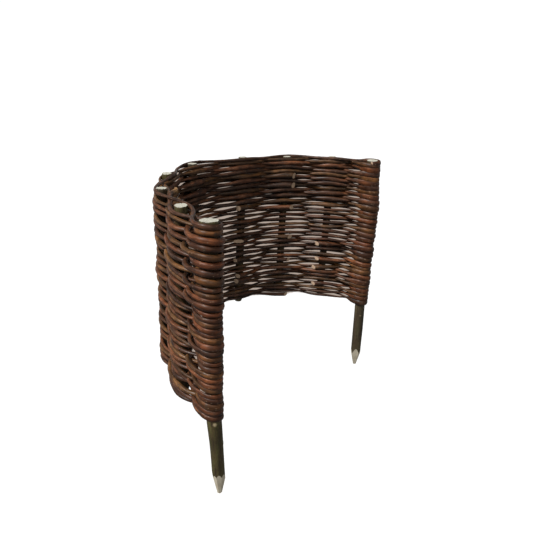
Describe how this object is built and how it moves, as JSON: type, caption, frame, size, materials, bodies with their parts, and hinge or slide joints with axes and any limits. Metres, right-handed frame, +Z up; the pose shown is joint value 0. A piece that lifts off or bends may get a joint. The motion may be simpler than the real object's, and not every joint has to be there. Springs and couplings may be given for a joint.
{
  "type": "half-round woven willow border panel",
  "caption": "Half-round woven willow edging panel on round stakes, open in front, with two pointed end stakes that push into the soil.",
  "frame": {"origin": "on the level of the spike tips, under the middle of the panel's width and depth", "axes": "+X along the open front from the left end stake to the right one, +Y towards the bulge of the half circle, +Z up"},
  "size_m": [0.45, 0.2364, 0.4],
  "materials": {
    "stake_bark": "round willow or hazel stake with its olive-brown bark on, knots, pale sawn tops and pale knife-cut points",
    "rod_dark_brown": "unpeeled willow rod, dark brown bark, satin, pale cut ends",
    "rod_red_brown": "unpeeled willow rod, red-brown bark, satin, pale cut ends",
    "rod_olive": "unpeeled willow rod, olive to yellow-brown bark, satin, pale cut ends"
  },
  "bodies": {
    "root": {"end_stake_left": "stake_bark", "stake_2": "stake_bark", "stake_3": "stake_bark", "stake_4": "stake_bark", "stake_5": "stake_bark", "stake_6": "stake_bark", "stake_7": "stake_bark", "stake_8": "stake_bark", "end_stake_right": "stake_bark", "willow_rod_01": "rod_dark_brown", "willow_rod_02": "rod_red_brown", "willow_rod_03": "rod_olive", "willow_rod_04": "rod_dark_brown", "willow_rod_05": "rod_red_brown", "willow_rod_06": "rod_olive", "willow_rod_07": "rod_dark_brown", "willow_rod_08": "rod_red_brown", "willow_rod_09": "rod_olive", "willow_rod_10": "rod_dark_brown", "willow_rod_11": "rod_red_brown", "willow_rod_12": "rod_olive", "willow_rod_13": "rod_dark_brown", "willow_rod_14": "rod_red_brown", "willow_rod_15": "rod_olive", "willow_rod_16": "rod_dark_brown", "willow_rod_17": "rod_red_brown", "willow_rod_18": "rod_olive", "willow_rod_19": "rod_dark_brown", "willow_rod_20": "rod_red_brown", "willow_rod_21": "rod_olive", "willow_rod_22": "rod_dark_brown", "willow_rod_23": "rod_red_brown", "willow_rod_24": "rod_olive", "willow_rod_25": "rod_dark_brown", "willow_rod_26": "rod_red_brown", "willow_rod_27": "rod_olive", "willow_rod_28": "rod_dark_brown", "willow_rod_29": "rod_red_brown", "willow_rod_30": "rod_olive", "willow_rod_31": "rod_dark_brown", "willow_rod_32": "rod_red_brown", "willow_rod_33": "rod_olive", "willow_rod_34": "rod_dark_brown"}
  },
  "joints": []
}
